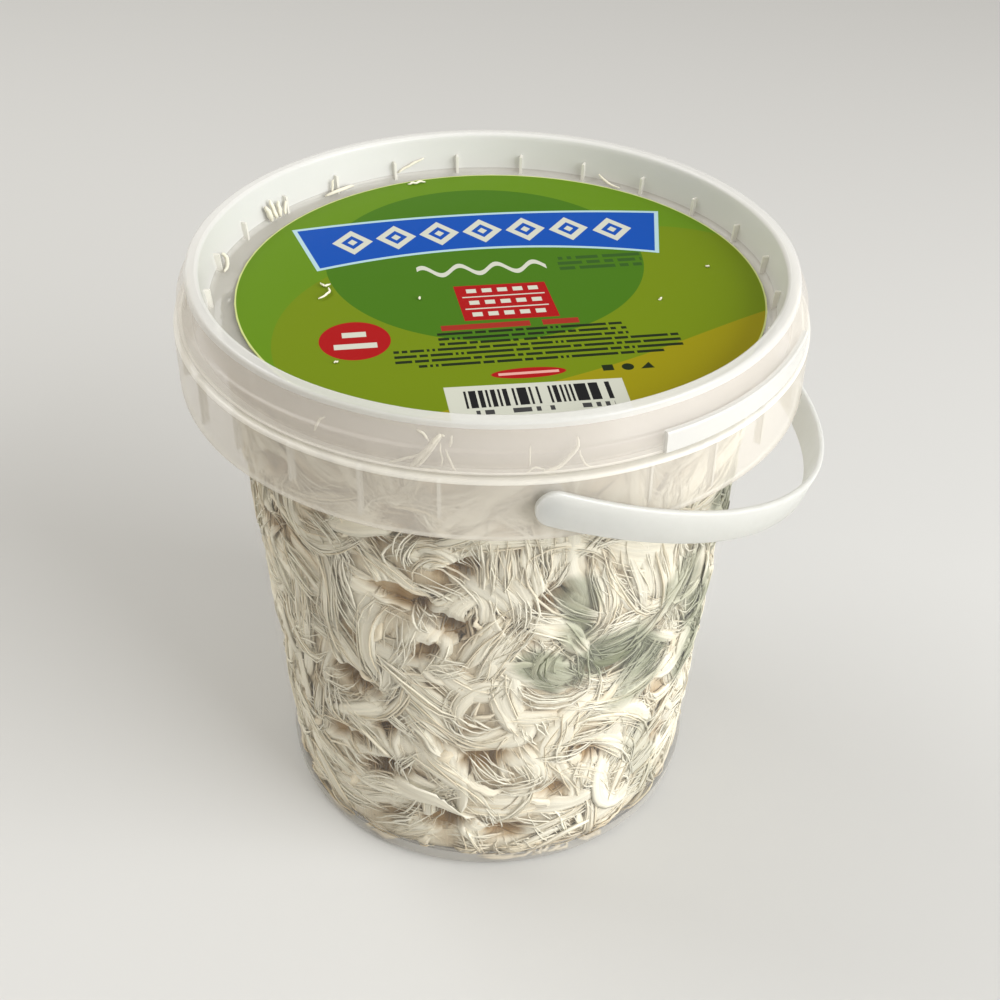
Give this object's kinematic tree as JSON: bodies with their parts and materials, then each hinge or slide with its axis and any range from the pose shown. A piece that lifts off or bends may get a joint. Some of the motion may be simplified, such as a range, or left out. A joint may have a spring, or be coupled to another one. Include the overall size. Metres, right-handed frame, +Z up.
{
  "type": "tub of shredded blue cheese",
  "caption": "Shut clear plastic tub packed with shredded blue cheese, with a push-on lid, a round printed label and a swinging strap handle.",
  "frame": {"origin": "centre of the tub's flat base, on the surface it stands on", "axes": "+Z up, the handle's ears on the Y axis, the handle drooping towards +X, the label reading along +X"},
  "size_m": [0.1278, 0.126, 0.124],
  "materials": {
    "clear_plastic": "milky see-through polypropylene, smooth with a soft gloss",
    "label_print": "glossy printed film, green fields with a blue banner",
    "cheese": "moist fine shreds, cream with grey-green mould",
    "white_plastic": "white polypropylene, satin"
  },
  "bodies": {
    "tub": {"tub": "clear_plastic", "lid": "clear_plastic", "label": "label_print", "cheese": "cheese"},
    "handle": {"handle": "white_plastic"}
  },
  "joints": [
    {"name": "handle_swing", "type": "hinge", "parent": "tub", "child": "handle", "pos_m": [0, 0, 0.11], "axis": [0, -1, 0], "range_deg": [-19.4, 242.2]}
  ]
}
